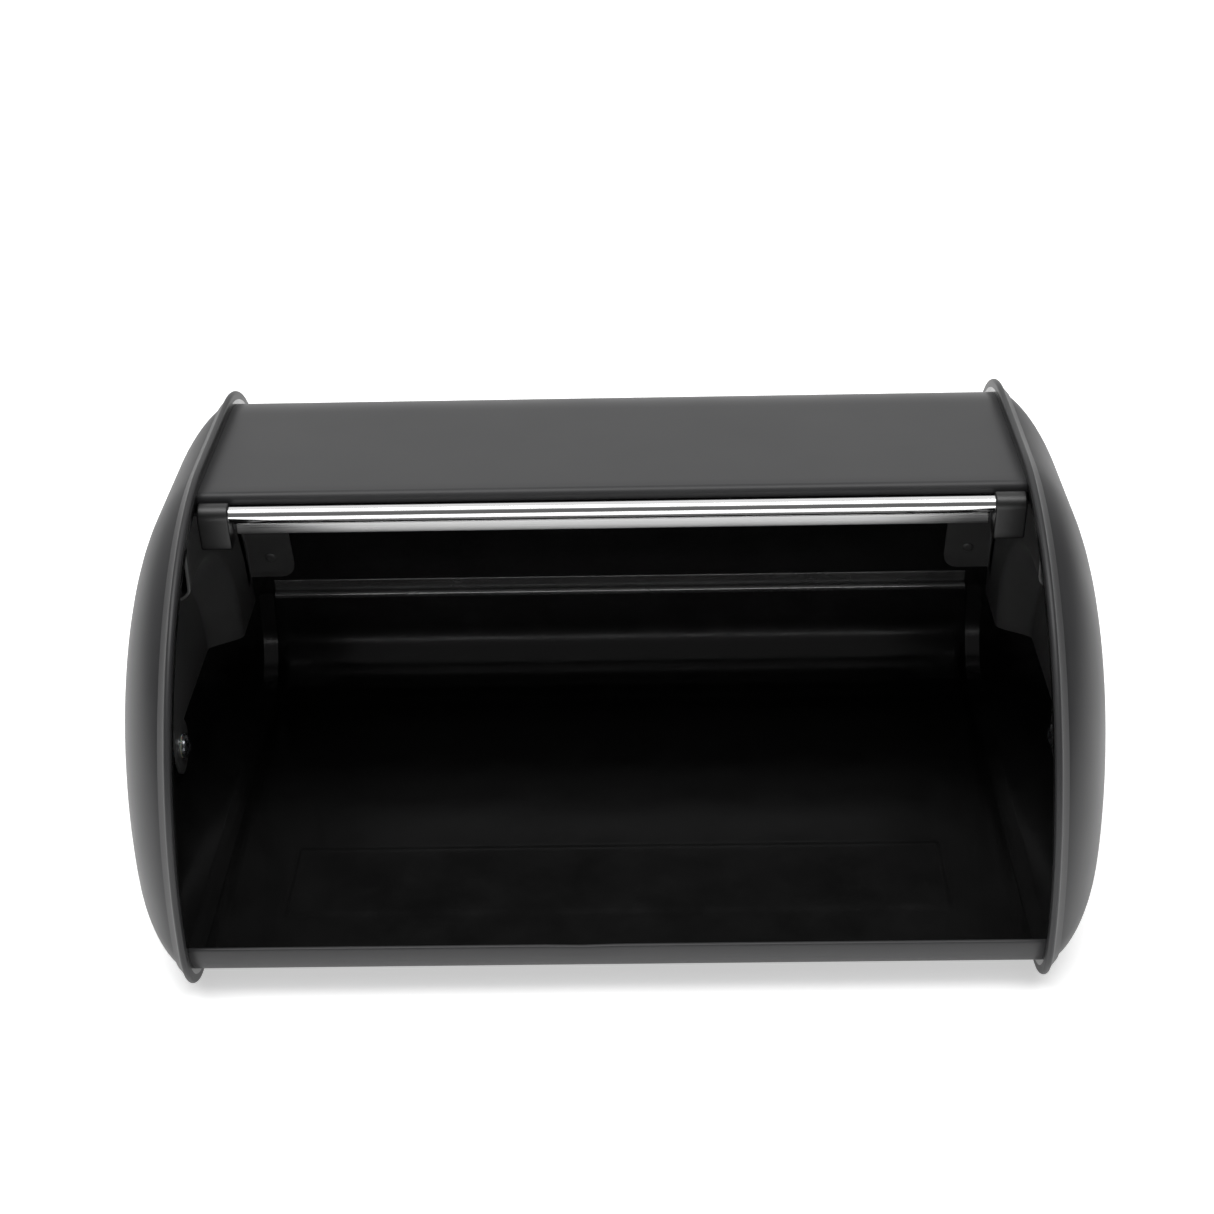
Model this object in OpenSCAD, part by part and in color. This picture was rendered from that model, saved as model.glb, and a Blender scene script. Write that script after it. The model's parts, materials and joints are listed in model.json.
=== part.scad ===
// Bread box with a roll top: a bent sheet wrap between two domed end caps, and a curved lid that
// turns on two side arms and rolls up inside, under the top panel.
// Frame: X from left to right, -Y is the open front, +Z is up. The origin is on the table, under the
// middle of the box. Every dimension is in millimetres. The lid is drawn rolled up (open).

/* [Box] */
// Distance between the outer faces of the two rims
rim_span = 352; // [280:1:440]
// Radius of the rims' front arc
front_arc_r = 139; // [132:1:170]
// Height of the front arc's centre above the table
arc_centre_z = 45; // [40:1:60]
// Distance from the front arc's centre to the back of the rims
back_depth = 135; // [125:1:170]
// Radius of the rims' upper rear corner
top_rear_r = 67; // [45:1:80]
// Radius of the rims' lower rear corner
low_rear_r = 36; // [20:1:50]
// Radius of the rims' lower front corner
low_front_r = 30; // [22:1:36]
// How far the rims stand proud of the sheet wrap
rim_proud = 6; // [5:0.5:8]
// Width of one rolled rim, across its flat edge and both faces
rim_w = 2.8; // [2.4:0.1:4]
// Thickness of the steel sheet
sheet_t = 0.8; // [0.6:0.1:1.2]
// Distance from the front arc's centre forward to the top panel's front edge
panel_edge_y = 19; // [12:1:26]
// Height of the flange that hangs from the top panel's front edge
panel_flange_h = 5; // [3:0.5:6]
// Height of the front lip's top edge above the table
lip_top_z = 25.5; // [22:0.5:28]
// Thickness of the folded hem on the front lip
hem_t = 2.2; // [1.8:0.1:3]

/* [End caps] */
// How far the domed end caps stand out from the rims
dome_h = 29; // [22:0.5:34]
// Fullness of the dome towards its edge
dome_full = 3.5; // [3:0.1:4]
// Roundness of the dome towards its crown
dome_round = 1.37; // [1.2:0.01:1.5]
// Height of the dome's crown above the table
crown_z = 84; // [78:1:92]
// Distance of the dome's crown in front of the front arc's centre
crown_y = 15; // [5:1:20]

/* [Lid] */
// Outer radius of the curved lid
lid_r = 123.5; // [116:0.5:124]
// How far the lid's side edges reach past the rims' outer faces
lid_overlap = 6.2; // [4:0.1:7]
// Distance of the pivots in front of the front arc's centre
pivot_y = 3; // [0:0.5:6]
// Height of the pivots above the table
pivot_z = 46; // [44:0.5:50]
// Angle of the lid's front edge above the rear horizontal, lid open
lid_front_deg = 97; // [94:0.5:98]
// Angle of the lid's rear edge above the rear horizontal, lid open
lid_rear_deg = 6.5; // [5:0.5:10]
// Depth of the flange along the lid's front edge
lid_flange_h = 8.5; // [7:0.5:12]

/* [Lid arms] */
// Thickness of the arms
arm_t = 1.2; // [1:0.1:2]
// Radius at which the arms start to step outwards
arm_step_out_r = 86; // [82:1:90]
// Radius at which the step ends
arm_step_in_r = 76; // [72:1:80]
// Distance from the pivot to the arms' front edge
arm_front = 12.5; // [11:0.5:13]
// Distance from the pivot to the arms' rear edge
arm_rear = 9.5; // [8:0.5:11]
// Width of the strip that joins an arm to the lid
strip_w = 22; // [14:1:26]

/* [Pivots] */
// Diameter of the pivot stud
stud_d = 8; // [6:0.5:10]
// Radial clearance between the stud and its bush
stud_gap = 0.05; // [0.02:0.01:0.1]
// Side clearance between turning faces
face_gap = 0.3; // [0.2:0.05:0.5]
// Wall of the nylon bush
bush_wall = 1.2; // [1:0.1:2]
// Diameter of the rivet's head
pivot_head_d = 10; // [8:0.5:12]

/* [Handle] */
// Diameter of the handle tube
tube_d = 7.3; // [6:0.1:9]
// Wall of the handle tube
tube_wall = 0.7; // [0.5:0.1:1]
// How far the tube's middle stands outside the lid's curve
tube_over = 2.9; // [2:0.1:3.4]
// Wall of an end bracket round the tube
bracket_wall = 1.45; // [1.2:0.05:1.5]
// Width of an end bracket
bracket_w = 13; // [10:0.5:14]
// Side clearance between the brackets and the rims' inner faces
bracket_gap = 0.8; // [0.5:0.1:4]
// Height of the bright rail that caps the flange's edge
rail_h = 5; // [4:0.5:6]
// Diameter of the bracket screws
screw_d = 3; // [2.5:0.5:3.5]
// Diameter of the bead along the lid's rear edge
bead_d = 4.4; // [3.5:0.1:5]
// How far the rear bead stops short of the lid's side edges
bead_cut = 11; // [8:0.5:20]

/* [Hidden] */
$fn = 64;

steel_black = "#2b2b2b";
steel_bright = "#d0d0d0";
plastic_black = "#1c1c1c";
nylon = "#e6e2d6";

// Arcs and lines as lists of points. An arc leaves out its last point, which the next stretch starts.
function arc(c, r, a0, a1, n) = [for (i = [0:n - 1]) let (a = a0 + (a1 - a0) * i / n)
    [c[0] + r * cos(a), c[1] + r * sin(a)]];
function line(p, q, n) = [for (i = [0:n - 1]) p + (q - p) * i / n];

// The side outline, in (y, z), seen with the front to the left, and its size.
top_z = arc_centre_z + front_arc_r;
shift_y = (front_arc_r - back_depth) / 2;          // puts the origin under the middle of the box
low_front_dz = arc_centre_z - low_front_r;
low_front_c = [-sqrt(pow(front_arc_r - low_front_r, 2) - pow(low_front_dz, 2)), low_front_r];
low_front_a = 180 + asin(low_front_dz / (front_arc_r - low_front_r));
low_rear_c = [back_depth - low_rear_r, low_rear_r];
top_rear_c = [back_depth - top_rear_r, top_z - top_rear_r];
arc_c = [0, arc_centre_z];

// The whole outline of the rims, moved in by d all round.
function outline(d) = concat(
    line([low_front_c[0], d], [low_rear_c[0], d], 6),
    arc(low_rear_c, low_rear_r - d, 270, 360, 7),
    line([back_depth - d, low_rear_c[1]], [back_depth - d, top_rear_c[1]], 3),
    arc(top_rear_c, top_rear_r - d, 0, 90, 10),
    line([top_rear_c[0], top_z - d], [0, top_z - d], 3),
    arc(arc_c, front_arc_r - d, 90, low_front_a, 20),
    arc(low_front_c, low_front_r - d, low_front_a, 270, 7));

// The wrap's own path: from the panel's front edge over the back and the floor, and round the
// lower front corner as far as end_a.
lip_a = 180 + asin((low_front_r - lip_top_z) / (low_front_r - rim_proud));
hem_a = lip_a + 20;                                // where the lip's folded hem ends
function on_low_front(r, a) = low_front_c + r * [cos(a), sin(a)];
function wrap_path(d, front_y, end_a) = concat(
    line([front_y, top_z - d], [top_rear_c[0], top_z - d], 1),
    arc(top_rear_c, top_rear_r - d, 90, 0, 24),
    line([back_depth - d, top_rear_c[1]], [back_depth - d, low_rear_c[1]], 1),
    arc(low_rear_c, low_rear_r - d, 0, -90, 16),
    line([low_rear_c[0], d], [low_front_c[0], d], 1),
    arc(low_front_c, low_front_r - d, 270, end_a, 18),
    [on_low_front(low_front_r - d, end_a)]);
// The whole sheet's section, with the flange under the panel's front edge and the lip's folded hem.
wrap_r = low_front_r - rim_proud;
flange_low_z = top_z - rim_proud - panel_flange_h;
function wrap_section() = concat(
    [[-panel_edge_y, flange_low_z]],
    wrap_path(rim_proud, -panel_edge_y, lip_a),
    arc(on_low_front(wrap_r - hem_t / 2, lip_a), hem_t / 2, lip_a - 18, lip_a - 180, 9),
    arc(low_front_c, wrap_r - hem_t, lip_a, hem_a, 5),
    [on_low_front(wrap_r - hem_t, hem_a)],
    reversed(wrap_path(rim_proud + sheet_t, sheet_t - panel_edge_y, hem_a)),
    [[sheet_t - panel_edge_y, flange_low_z]]);
function reversed(p) = [for (i = [len(p) - 1:-1:0]) p[i]];

// Places along X, from the middle out, that the two ends share.
rim_out_x = rim_span / 2;
rim_in_x = rim_out_x - rim_w;
lid_side_x = rim_out_x + lid_overlap;              // outer face of the arms' upper plates
crown_x = rim_out_x + dome_h;
pivot = [-pivot_y, pivot_z];

// The dome: how far out it stands where its outline is drawn s times full size about the crown.
dome_c = [-crown_y, crown_z];
dome_base = 1.5;                                   // the dome springs from this far past the rim
dome_inner_h = dome_h - dome_base - sheet_t;
function dome_x(s, h) = rim_out_x + dome_base
    + h * pow(1 - pow(s, dome_full), 1 / dome_round);

// A flat pad pressed inside the dome round the pivot, just deep enough to be flat below the stud.
stud_disc_d = 2 * stud_d;
stud_disc_t = 1.5;
pad_r = stud_disc_d / 2 + 5;
pad_low = stud_disc_d / 2 + 1.6;
crown_to_pivot = norm(pivot - dome_c);
crown_to_wrap = (crown_z - rim_proud - sheet_t) * crown_to_pivot / (crown_z - pivot_z);
pad_s = (crown_to_pivot + pad_low) / crown_to_wrap;
pad_x = dome_x(pad_s, dome_inner_h);

bush_flange_t = 1.2;
bush_flange_x = pad_x - stud_disc_t - face_gap;    // outer face of the bush's flange
arm_x = bush_flange_x - bush_flange_t;             // outer face of the arms' lower plates
bush_end_x = arm_x - arm_t - 0.4;
washer_x = bush_end_x - face_gap;                  // outer face of the washer
washer_t = 0.8;
head_x = washer_x - washer_t;                      // seat of the pivot rivet's head
rivet_d = stud_d / 2;

// The lid's and handle's own places.
lid_in_x = lid_side_x - arm_t;                     // side edge of the curved sheet
arm_front_top = arm_front + 2.5;
flange_edge = lid_r - lid_flange_h;
bracket_out_x = rim_in_x - bracket_gap;
bracket_in_x = bracket_out_x - bracket_w;
bracket_low = flange_edge - 4.5;
bracket_r = tube_d / 2 + bracket_wall;
tube_y = lid_r + tube_over;
tube_z = bracket_r + 0.5;                          // lid open, the brackets rest under the panel's edge
bracket_d = tube_z + bracket_r;
tube_end_x = bracket_in_x + 7;
rail_t = 1;
screw_gap = 0.05;
screw_x = (bracket_in_x + bracket_out_x) / 2;
screw_y = flange_edge + 2.9;
screw_l = 5;
screw_head_t = 1.8;
bead_x = lid_in_x - bead_cut;
lap_x = bead_x - 0.3;
bead_deg = 0.5;                                    // the bead's centre is this far up from the edge
hem_deg = 4.2;                                     // the hem's lap ends this far up from the edge
hem_lap_t = 1;
bead_r = lid_r - bead_d / 2 - 0.05;
bead_y = -pivot_y + bead_r * cos(lid_rear_deg + bead_deg);
bead_z = pivot_z + bead_r * sin(lid_rear_deg + bead_deg);
strip_deg = [12, 92];                              // where a strip starts and ends round the lid
strip_r = lid_r - sheet_t - screw_gap;
rivet_deg = [18, 47, 76];
rivet_x = lid_in_x - strip_w / 2;
strip_rivet_d = 3;
strip_head_t = 0.8;

// Rings of points that an end cap's skin runs through.
function scaled(p, s) = [for (q = p) dome_c + (q - dome_c) * s];
function with_x(p, x) = [for (q = p) [x, q[0], q[1]]];
function padded(p, x) = [for (q = p) [norm(q - pivot) < pad_r ? min(x, pad_x) : x, q[0], q[1]]];

outer_s = [0.985, 0.96, 0.925, 0.88, 0.82, 0.75, 0.66, 0.56, 0.44, 0.31, 0.16];
inner_s = concat([0.14, 0.26], [for (k = [-3:0]) pad_s + 0.07 * k],
                 [for (k = [0.2, 0.4, 0.58, 0.74, 0.86, 0.95]) pad_s + (1 - pad_s) * k]);
// The rolled rim's section: how far in from the outline, and how far past the rim's outer face.
rim_section = [[rim_proud + 1.6, -rim_w], [1.2, -rim_w], [0.35, 0.3 - rim_w], [0, 0.9 - rim_w],
               [0, -0.9], [0.35, -0.2], [1.6, 0.3], [3.2, 0.9], [4.8, 1.9], [rim_proud, 3.4]];

function cap_rings() = concat(
    [for (s = inner_s) padded(scaled(outline(rim_proud + sheet_t), s), dome_x(s, dome_inner_h))],
    [for (k = rim_section) with_x(outline(k[0]), rim_out_x + k[1])],
    [for (s = outer_s) with_x(scaled(outline(rim_proud), s), dome_x(s, dome_h - dome_base))]);

// A closed shell from rings of points, with a pole at each end.
module ring_shell(rings, first_pole, last_pole) {
    n = len(rings[0]);
    m = len(rings);
    points = concat([first_pole], [for (r = rings) each r], [last_pole]);
    last = m * n + 1;
    faces = concat(
        [for (i = [0:n - 1]) [0, 1 + i, 1 + (i + 1) % n]],
        [for (k = [0:m - 2], i = [0:n - 1]) let (a = 1 + k * n, b = a + n, j = (i + 1) % n)
            each [[a + i, b + i, b + j], [a + i, b + j, a + j]]],
        [for (i = [0:n - 1]) [last, 1 + (m - 1) * n + (i + 1) % n, 1 + (m - 1) * n + i]]);
    polyhedron(points, faces, convexity = 6);
}

// Mirrors a right-hand piece for the left.
module for_side(side) {
    if (side == "left") mirror([1, 0, 0]) children();
    else children();
}

// Draws a (y, z) outline as a plate between two places along X.
module plate(x0, x1) {
    translate([x0, 0, 0]) rotate([90, 0, 90]) linear_extrude(x1 - x0) children();
}

// A round solid along X, centred on the pivot axis.
module on_pivot(d, x0, x1) {
    translate([x0, pivot[0], pivot[1]]) rotate([0, 90, 0]) cylinder(d = d, h = x1 - x0);
}

// A slice of a ring about the pivot axis: children are a section in (radius, x).
module ring_slice(a0, a1) {
    translate([0, pivot[0], pivot[1]]) rotate([90, 0, 90]) rotate([0, 0, a0])
        rotate_extrude(angle = a1 - a0, $fn = 180) children();
}

// The handle's own frame: +Y points out from the pivot axis, +Z the way the lid closes.
module on_lid_front() {
    translate([0, pivot[0], pivot[1]]) rotate([lid_front_deg, 0, 0]) children();
}

module body_wrap() {
    color(steel_black) plate(-rim_in_x, rim_in_x) polygon(wrap_section());
}

module end_cap(side) {
    color(steel_black) for_side(side)
        ring_shell(cap_rings(), [crown_x - sheet_t, dome_c[0], dome_c[1]],
                   [crown_x, dome_c[0], dome_c[1]]);
}

module pivot_stud(side) {
    color(steel_bright) for_side(side) difference() {
        union() {
            on_pivot(stud_disc_d, pad_x - stud_disc_t, pad_x);
            on_pivot(stud_d, washer_x, pad_x - stud_disc_t);
        }
        on_pivot(rivet_d, washer_x - 1, pad_x - stud_disc_t / 2);
    }
}

module pivot_rivet(side) {
    color(steel_bright) for_side(side) {
        on_pivot(rivet_d, head_x, pad_x - stud_disc_t / 2);
        translate([head_x, pivot[0], pivot[1]]) rotate([0, -90, 0]) rotate_extrude()
            intersection() {
                translate([0, 2 - pivot_head_d * 0.8]) circle(r = pivot_head_d * 0.8, $fn = 96);
                square([pivot_head_d / 2, 2]);
            }
    }
}

module pivot_washer(side) {
    color(steel_bright) for_side(side) difference() {
        on_pivot(stud_d + 4, head_x, washer_x);
        on_pivot(rivet_d, head_x - 1, washer_x + 1);
    }
}

module pivot_bush(side) {
    color(nylon) for_side(side) difference() {
        union() {
            on_pivot(stud_d + 2 * (stud_gap + bush_wall), bush_end_x, bush_flange_x);
            on_pivot(stud_d + 7, arm_x, bush_flange_x);
        }
        on_pivot(stud_d + 2 * stud_gap, bush_end_x - 1, bush_flange_x + 1);
    }
}

module lid_shell() {
    color(steel_black) {
        difference() {
            union() {
                ring_slice(lid_rear_deg, lid_front_deg)
                    translate([lid_r - sheet_t, -lid_in_x]) square([sheet_t, 2 * lid_in_x]);
                on_lid_front() translate([-bracket_out_x, flange_edge, -sheet_t])
                    cube([2 * bracket_out_x, lid_r - sheet_t / 2 - flange_edge, sheet_t]);
                ring_slice(lid_rear_deg + bead_deg, lid_rear_deg + hem_deg)
                    translate([lid_r - sheet_t - hem_lap_t, -lap_x])
                        square([hem_lap_t + sheet_t / 2, 2 * lap_x]);
                translate([-bead_x, bead_y, bead_z]) rotate([0, 90, 0]) cylinder(d = bead_d, h = 2 * bead_x);
            }
            for (side = [-1, 1]) {
                on_lid_front() translate([side * screw_x, screw_y, -5])
                    cylinder(d = screw_d + 2 * screw_gap, h = 10);
                rivet_places() translate([side * rivet_x, 0, 0]) rotate([-90, 0, 0])
                    cylinder(d = strip_rivet_d + 2 * screw_gap, h = lid_r + 5);
            }
        }
    }
}

// The three places round the lid where an arm's strip is riveted to it: +Y points outwards.
module rivet_places() {
    for (a = rivet_deg) translate([0, pivot[0], pivot[1]]) rotate([a, 0, 0]) children();
}

// The arm's side view, about the pivot.
arm_rear_a = asin(arm_rear / arm_front);
module arm_outline() {
    polygon(concat(arc([0, 0], arm_front, 180, 360 + arm_rear_a, 16), [
        [arm_front * cos(arm_rear_a), arm_rear], [lid_r + 1, arm_rear], [lid_r + 1, lid_r + 1],
        [-arm_front_top, lid_r + 1], [-arm_front_top, arm_step_out_r], [-arm_front, arm_step_in_r]]));
}

// The arm's section: a flat plate round the pivot that steps in to meet the lid's side edge.
module arm_section() {
    polygon([[0, arm_x - arm_t], [arm_step_in_r, arm_x - arm_t], [arm_step_out_r, lid_in_x],
             [lid_r, lid_in_x], [lid_r, lid_side_x], [arm_step_out_r, lid_side_x],
             [arm_step_in_r, arm_x], [0, arm_x]]);
}

module lid_arm(side) {
    color(steel_black) for_side(side) difference() {
        union() {
            intersection() {
                ring_slice(0, 360) arm_section();
                translate([0, pivot[0], pivot[1]]) plate(lid_in_x - 5, arm_x + 5) arm_outline();
            }
            ring_slice(strip_deg[0], strip_deg[1])
                translate([strip_r - arm_t, lid_in_x - strip_w]) square([arm_t, strip_w + arm_t / 2]);
        }
        on_pivot(stud_d + 2 * (stud_gap + bush_wall), arm_x - arm_t - 1, arm_x + 1);
        rivet_places() translate([rivet_x, 0, 0]) rotate([-90, 0, 0])
            cylinder(d = strip_rivet_d + 2 * screw_gap, h = lid_r + 5);
    }
}

module arm_rivets(side) {
    in_head_d = strip_rivet_d + 2;
    in_r = strip_r - arm_t;
    seat_r = in_r - pow(in_head_d / 2, 2) / in_r / 2 - screw_gap;
    color(steel_black) for_side(side) rivet_places() translate([rivet_x, 0, 0]) rotate([-90, 0, 0]) {
        translate([0, 0, seat_r - strip_head_t]) cylinder(d = in_head_d, h = strip_head_t);
        translate([0, 0, seat_r - strip_head_t / 2])
            cylinder(d = strip_rivet_d, h = lid_r - seat_r + strip_head_t);
        translate([0, 0, lid_r]) cylinder(d = strip_rivet_d + 3, h = strip_head_t);
    }
}

// A tube along X in the handle's own frame.
module along_handle(d, x0, x1) {
    translate([x0, tube_y, tube_z]) rotate([0, 90, 0]) cylinder(d = d, h = x1 - x0);
}

module handle_tube() {
    color(steel_bright) on_lid_front() difference() {
        along_handle(tube_d, -tube_end_x, tube_end_x);
        along_handle(tube_d - 2 * tube_wall, -tube_end_x - 1, tube_end_x + 1);
    }
}

// A bright channel that caps the edge of the lid's front flange.
module handle_rail() {
    rail_x = bracket_in_x - 1.2;
    color(steel_bright) on_lid_front() plate(-rail_x, rail_x)
        translate([flange_edge - rail_t, -sheet_t - rail_t]) {
            square([rail_t, sheet_t + 2 * rail_t]);
            square([4, rail_t]);
            translate([0, sheet_t + rail_t]) square([rail_h, rail_t]);
        }
}

module bracket_outline() {
    translate([tube_y, tube_z]) circle(r = bracket_r);
    polygon([[bracket_low, 0], [lid_r - 0.5, 0], [tube_y, tube_z - bracket_r], [tube_y, bracket_d],
             [bracket_low + 2, bracket_d - 2.5], [bracket_low, bracket_d - 4.5]]);
}

module handle_bracket(side) {
    color(plastic_black) for_side(side) on_lid_front() difference() {
        plate(bracket_in_x, bracket_out_x) bracket_outline();
        along_handle(tube_d + 2 * screw_gap, bracket_in_x - 1, tube_end_x + 0.5);
        translate([screw_x, screw_y, -1]) cylinder(d = screw_d + 2 * screw_gap, h = screw_l + 1.5);
    }
}

module handle_screw(side) {
    color(steel_bright) for_side(side) on_lid_front() translate([screw_x, screw_y, -sheet_t]) {
        cylinder(d = screw_d, h = screw_l + sheet_t);
        difference() {
            translate([0, 0, -screw_head_t]) cylinder(d = 2 * screw_d - 0.6, h = screw_head_t);
            for (a = [0, 90]) rotate([0, 0, a]) translate([-screw_d * 0.6, -0.3, -screw_head_t - 1])
                cube([screw_d * 1.2, 0.6, 1.8]);
        }
    }
}

translate([0, shift_y, 0]) {
    body_wrap();
    end_cap("left");  // left_end_cap
    end_cap("right");  // right_end_cap
    pivot_stud("left");  // left_pivot_stud
    pivot_stud("right");  // right_pivot_stud
    pivot_rivet("left");  // left_pivot_rivet
    pivot_rivet("right");  // right_pivot_rivet
    pivot_washer("left");  // left_pivot_washer
    pivot_washer("right");  // right_pivot_washer
    pivot_bush("left");  // left_pivot_bush
    pivot_bush("right");  // right_pivot_bush
    lid_shell();
    lid_arm("left");  // left_lid_arm
    lid_arm("right");  // right_lid_arm
    arm_rivets("left");  // left_arm_rivets
    arm_rivets("right");  // right_arm_rivets
    handle_tube();
    handle_rail();
    handle_bracket("left");  // left_handle_bracket
    handle_bracket("right");  // right_handle_bracket
    handle_screw("left");  // left_handle_screw
    handle_screw("right");  // right_handle_screw
}
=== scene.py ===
import json
import math

import bmesh
import bpy
from mathutils import Euler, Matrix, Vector


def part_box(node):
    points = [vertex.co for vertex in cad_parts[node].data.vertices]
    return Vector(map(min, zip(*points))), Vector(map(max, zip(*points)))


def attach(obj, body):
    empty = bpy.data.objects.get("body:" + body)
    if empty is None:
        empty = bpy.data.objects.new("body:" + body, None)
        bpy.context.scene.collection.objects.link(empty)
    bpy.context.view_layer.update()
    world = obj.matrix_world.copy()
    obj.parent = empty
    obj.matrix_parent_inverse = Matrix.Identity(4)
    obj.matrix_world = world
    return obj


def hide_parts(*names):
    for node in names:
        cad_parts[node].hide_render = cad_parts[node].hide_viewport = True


# Bread box with a roll top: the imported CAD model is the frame, and this script adds the finished
# sheet metal, the handle, the studio and the camera. Sizes are in millimetres unless a name says more.

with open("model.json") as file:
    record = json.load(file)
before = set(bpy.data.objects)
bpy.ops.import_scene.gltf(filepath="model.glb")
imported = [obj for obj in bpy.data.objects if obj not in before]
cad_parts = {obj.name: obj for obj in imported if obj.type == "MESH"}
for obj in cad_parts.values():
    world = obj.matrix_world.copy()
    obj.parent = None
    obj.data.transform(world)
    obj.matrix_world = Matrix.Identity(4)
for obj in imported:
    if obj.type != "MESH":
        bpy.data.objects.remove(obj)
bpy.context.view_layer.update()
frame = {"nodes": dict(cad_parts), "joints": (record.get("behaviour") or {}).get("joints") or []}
mm = 0.001
axisY, axisZ = (frame["joints"][0]["pos_m"][i] / mm for i in (1, 2))    # the lid's pivot axis


def boxOf(node):
    low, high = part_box(node)
    return low / mm, high / mm


print("frame loaded:", len(frame["nodes"]), "nodes")


camera = {
    "place": (19.0, -880.0, 574.4),
    "turn": (62.354, 1.304, 0.754),    # degrees about X, Y and Z
    "lens": 67.458,
    "sensor": 36.0,
}


def makeCamera():
    data = bpy.data.cameras.new("camera")
    data.lens = camera["lens"]
    data.sensor_width = camera["sensor"]
    data.clip_start = 0.01
    eye = bpy.data.objects.new("camera", data)
    eye.location = Vector(camera["place"]) * mm
    eye.rotation_euler = Euler([math.radians(a) for a in camera["turn"]], "XYZ")
    bpy.context.scene.collection.objects.link(eye)
    bpy.context.scene.camera = eye


makeCamera()
print("camera made")


def toLinear(hexColour):
    channels = [int(hexColour[i:i + 2], 16) / 255 for i in (1, 3, 5)]
    return (*(c / 12.92 if c <= 0.04045 else ((c + 0.055) / 1.055) ** 2.4 for c in channels), 1.0)


def addNode(tree, kind, settings, inputs):
    # an input is given a value, a socket to link from, or a list of sockets
    node = tree.nodes.new(kind)
    for name, setting in settings.items():
        setattr(node, name, setting)
    for name, given in inputs.items():
        if isinstance(given, (bpy.types.NodeSocket, list)):
            for source in given if isinstance(given, list) else [given]:
                tree.links.new(source, node.inputs[name])
        else:
            node.inputs[name].default_value = given
    return node


def perSize(size):
    return 1 / (size * mm)    # noise scale for spots of this many millimetres


def startMaterial(name):
    material = bpy.data.materials.new(name)
    material.use_nodes = True
    tree = material.node_tree
    tree.nodes.clear()
    return material, tree, addNode(tree, "ShaderNodeTexCoord", {}, {}).outputs["Object"]


def endMaterial(tree, inputs):
    shader = addNode(tree, "ShaderNodeBsdfPrincipled", {}, inputs)
    addNode(tree, "ShaderNodeOutputMaterial", {}, {"Surface": shader.outputs[0]})


def satinEnamel():
    # Black powder coat on steel, baked: a satin skin with fine orange peel that spreads reflections.
    material, tree, spot = startMaterial("satinBlackEnamel")
    cloud = addNode(tree, "ShaderNodeTexNoise", {}, {"Vector": spot, "Scale": perSize(60), "Detail": 3})
    peel = addNode(tree, "ShaderNodeTexNoise", {}, {"Vector": spot, "Scale": perSize(1.6)})
    grain = addNode(tree, "ShaderNodeTexNoise", {}, {"Vector": spot, "Scale": perSize(0.5)})
    tone = addNode(tree, "ShaderNodeMapRange", {}, {
        "Value": cloud.outputs[0], "From Min": 0.3, "From Max": 0.7})
    colour = addNode(tree, "ShaderNodeMix", {"data_type": "RGBA"}, {
        "Factor": tone.outputs[0], 6: toLinear("#2a2a2b"), 7: toLinear("#303031")})
    rough = addNode(tree, "ShaderNodeMapRange", {}, {
        "Value": cloud.outputs[0], "From Min": 0.3, "From Max": 0.7, "To Min": 0.40, "To Max": 0.47})
    peeled = addNode(tree, "ShaderNodeBump", {}, {"Height": peel.outputs[0], "Distance": 0.012 * mm})
    grained = addNode(tree, "ShaderNodeBump", {}, {
        "Height": grain.outputs[0], "Distance": 0.004 * mm, "Normal": peeled.outputs[0]})
    endMaterial(tree, {
        "Base Color": colour.outputs[2], "Roughness": rough.outputs[0], "Normal": grained.outputs[0],
        "IOR": 1.5, "Specular IOR Level": 0.3})
    return material


def glossLacquer():
    # The same steel with a wet-looking black lacquer inside: the thin sheet waves a little.
    material, tree, spot = startMaterial("glossBlackLacquer")
    wave = addNode(tree, "ShaderNodeTexNoise", {}, {"Vector": spot, "Scale": perSize(55), "Detail": 1})
    smear = addNode(tree, "ShaderNodeTexNoise", {}, {
        "Vector": spot, "Scale": perSize(22), "Detail": 3, "Roughness": 0.6})
    dust = addNode(tree, "ShaderNodeTexNoise", {}, {"Vector": spot, "Scale": perSize(1.2)})
    tone = addNode(tree, "ShaderNodeMapRange", {}, {
        "Value": smear.outputs[0], "From Min": 0.3, "From Max": 0.7})
    colour = addNode(tree, "ShaderNodeMix", {"data_type": "RGBA"}, {
        "Factor": tone.outputs[0], 6: toLinear("#101010"), 7: toLinear("#161616")})
    rough = addNode(tree, "ShaderNodeMapRange", {}, {
        "Value": smear.outputs[0], "From Min": 0.3, "From Max": 0.7, "To Min": 0.16, "To Max": 0.24})
    waved = addNode(tree, "ShaderNodeBump", {}, {"Height": wave.outputs[0], "Distance": 0.35 * mm})
    dusted = addNode(tree, "ShaderNodeBump", {}, {
        "Height": dust.outputs[0], "Distance": 0.003 * mm, "Normal": waved.outputs[0]})
    endMaterial(tree, {
        "Base Color": colour.outputs[2], "Roughness": rough.outputs[0], "Normal": dusted.outputs[0],
        "IOR": 1.5})
    return material


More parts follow.
